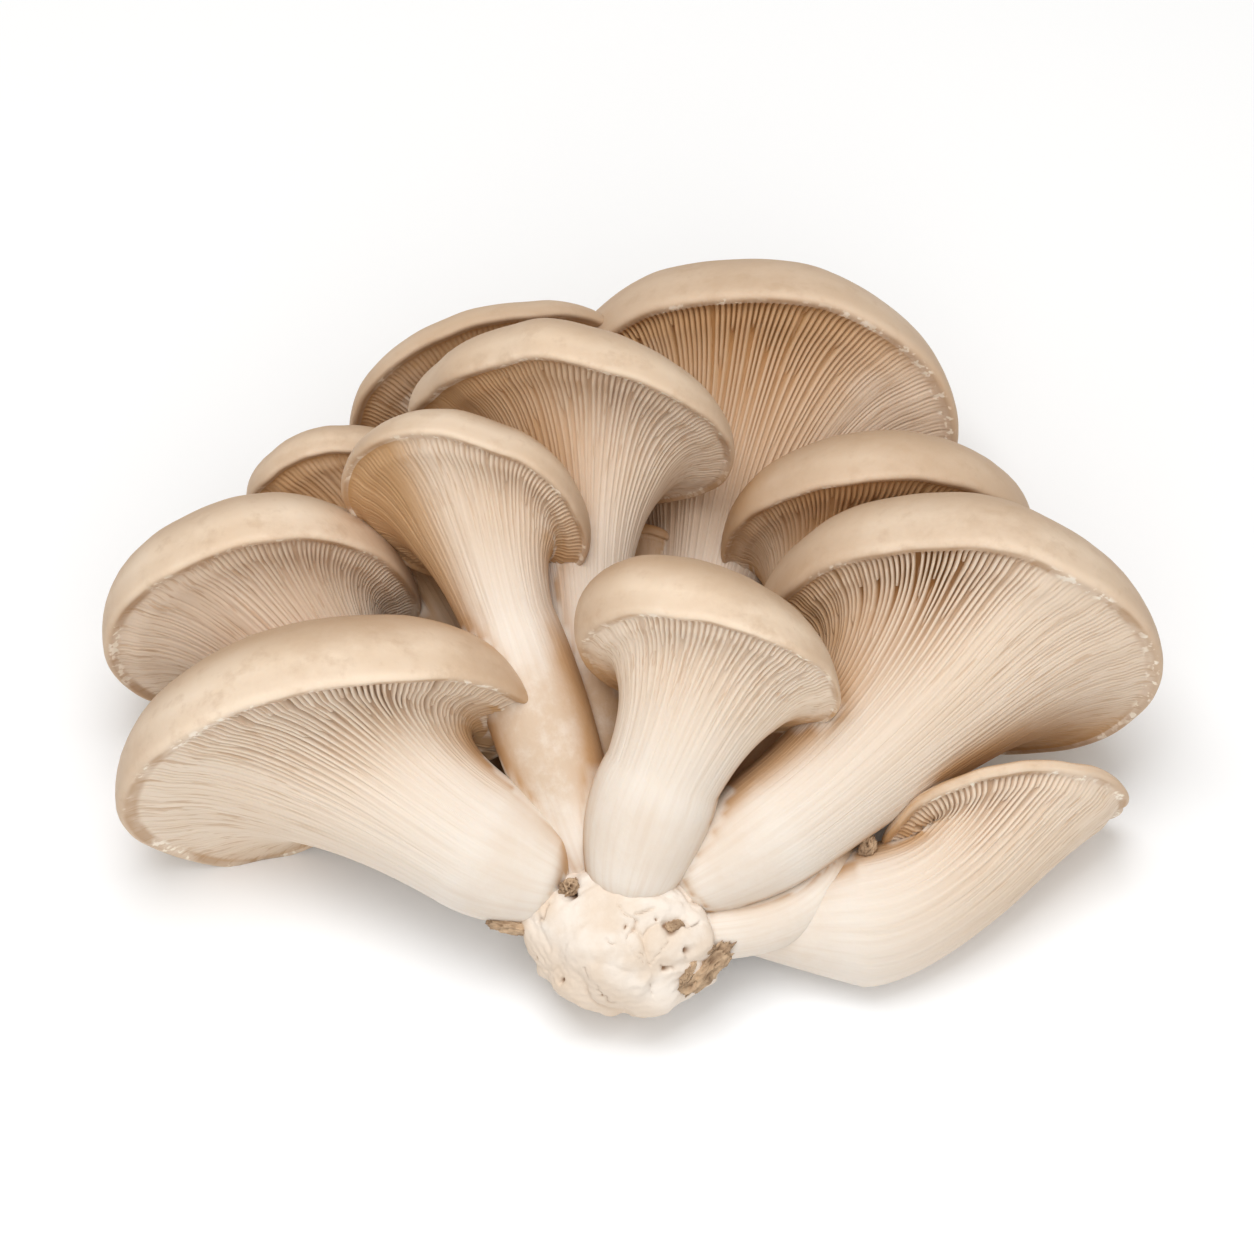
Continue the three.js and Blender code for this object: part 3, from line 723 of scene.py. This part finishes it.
for one, two, width, depth in CRACKS:
    near = np.exp(-(way_to_line(flat, one, two) / width) ** 2) * front
    points -= ways * (near * depth)[:, None]
    soil = np.maximum(soil, near * 0.55)
# Painted shade: the butt turns tan at its lower left, in the hollow by the knob under the front left foot,
# and in a band along its cracks.
low_left = smooth((-points[:, 0] * 0.6 - points[:, 1] - 3) / 9)
by_knob = np.exp(-((points[:, 0] + 13.7) ** 2 + (points[:, 1] - 5.6) ** 2) / 6)
stained = np.maximum.reduce((low_left, by_knob, 0.7 * open_share * np.exp(-(between / 0.12) ** 2)))
set_points(butt, points, soil=soil, stained=stained)

BUTT_WHITE = (0.85, 0.78, 0.71, 1)
BUTT_TAN_AND_SHADE = (0.70, 0.55, 0.41, 1)
SOIL_DARK = (0.24, 0.12, 0.05, 1)
white, tree, surface = new_material("white butt flesh")
soil, stained = (read_mask(tree, n)["Fac"] for n in ("soil", "stained"))
base = add_node(tree, "Group", dict(node_tree=mottle), Colour=BUTT_WHITE, Blotch=BUTT_TAN_AND_SHADE,
                Blotch_Scale=160.0, Amount=0.55, Grain_Scale=1100.0)
# Painted shade, turning the butt tan in its hollows and along its cracks.
stain = mix_colours(tree, ranged(tree, stained, 0.0, 1.0, 0, 0.55), base.outputs["Colour"], BUTT_TAN_AND_SHADE)
tree.links.new(mix_colours(tree, ranged(tree, soil, 0.25, 0.95, 0, 0.9), stain, SOIL_DARK),
               surface.inputs["Base Color"])
surface.inputs["Roughness"].default_value = 0.7
surface.inputs["Specular IOR Level"].default_value = 0.25
bump = add_node(tree, "Bump", Strength=0.4, Distance=0.0004, Height=base.outputs["Height"])
tree.links.new(bump.outputs[0], surface.inputs["Normal"])
butt.data.materials.append(white)
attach(butt, "root")
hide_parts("butt")

# ---------------------------------------------------------------- scraps of the growing block
# Bits of brown straw and bark from the growing block still stick to the butt and between the stems.
# Each is a rough flake: where it is, its half sizes, its turn in the fan's plane and its roughness.
SCRAPS = {
    "bark_patch": ((11.8, -4.2, 5.0), (5.8, 2.2, 2.4), 42, 0.65),
    "bark_patch_top": ((11.2, -1.4, 7.2), (2.3, 0.9, 0.9), 20, 0.7),
    "bark_patch_mid": ((9.2, -4.6, 7.6), (2.4, 0.8, 0.8), 62, 0.7),
    "bark_patch_low": ((8.0, -8.0, 3.6), (3.4, 1.3, 1.4), 40, 0.45),
    "bark_tip_left": ((-18.7, 2.4, 3.0), (4.3, 1.3, 1.6), -8, 0.4),
    "bark_knob": ((-9.7, 8.9, 7.0), (1.8, 1.3, 1.2), 30, 0.75),
    "bark_by_bud": ((38.3, 15.0, -1.0), (1.8, 1.3, 1.2), 60, 0.7),
    "bark_by_bud_low": ((38.2, 13.4, -2.8), (1.0, 0.8, 0.8), 0, 0.5),
    "bark_ring": ((7.0, 2.9, 9.2), (1.6, 1.0, 0.9), 10, 0.5),
}
BARK_LIGHT = (0.60, 0.43, 0.28, 1)
BARK_DARK = (0.13, 0.06, 0.025, 1)
bark, tree, surface = new_material("brown bark")
hollow = read_mask(tree, "hollow")["Fac"]
base = add_node(tree, "Group", dict(node_tree=mottle), Colour=BARK_LIGHT, Blotch=BARK_DARK,
                Blotch_Scale=420.0, Amount=0.6, Grain_Scale=2500.0)
tree.links.new(mix_colours(tree, ranged(tree, hollow, 0.1, 0.6, 0, 0.9), base.outputs["Colour"], BARK_DARK),
               surface.inputs["Base Color"])
surface.inputs["Roughness"].default_value = 0.8
bump = add_node(tree, "Bump", Strength=0.6, Distance=0.0004, Height=base.outputs["Height"])
tree.links.new(bump.outputs[0], surface.inputs["Normal"])

for name, (place, half, turn, rough) in SCRAPS.items():
    scrap, ways = new_ball(name, 5)
    ridged = 1 - np.abs(lumps(ways, 0.8, draw))
    fine = 1 - np.abs(lumps(ways, 0.35, draw))
    finest = 1 - np.abs(lumps(ways, 0.17, draw))
    size = 1 + rough * (0.55 * ridged + 0.3 * fine + 0.15 * finest - 0.65)
    turned = ways * size[:, None] * half @ np.array(Matrix.Rotation(radians(turn), 3, "Z")).T
    set_points(scrap, turned + place, hollow=1 - size)
    scrap.data.materials.append(bark)
    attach(scrap, "root")

# ---------------------------------------------------------------- floor and light
# A plain pale table under soft, wide lamps, one above the caps and one in front of them.
bpy.ops.object.select_all(action="DESELECT")
bpy.ops.mesh.primitive_plane_add(size=6, location=(0, 0, 0))
floor = bpy.context.object
floor.name = "floor"
table, tree, surface = new_material("pale table")
surface.inputs["Base Color"].default_value = (0.94, 0.965, 1.0, 1)
surface.inputs["Roughness"].default_value = 0.9
floor.data.materials.append(table)

# Each lamp: its place in metres, its size in metres and its power in watts.
LAMPS = (("lamp_above", (-0.08, -0.05, 1.0), 0.55, 5.6), ("lamp_front", (0.05, -0.75, 0.85), 0.9, 4))
for name, place, size, power in LAMPS:
    lamp_data = bpy.data.lights.new(name, "AREA")
    lamp_data.size = size
    lamp_data.energy = power
    lamp = bpy.data.objects.new(name, lamp_data)
    lamp.location = place
    lamp.rotation_euler = (-Vector(place)).to_track_quat("-Z", "Y").to_euler()
    bpy.context.scene.collection.objects.link(lamp)

world = bpy.data.worlds.new("daylight")
world.use_nodes = True
world.node_tree.nodes["Background"].inputs["Color"].default_value = (1, 0.93, 0.83, 1)
world.node_tree.nodes["Background"].inputs["Strength"].default_value = 0.44
bpy.context.scene.world = world
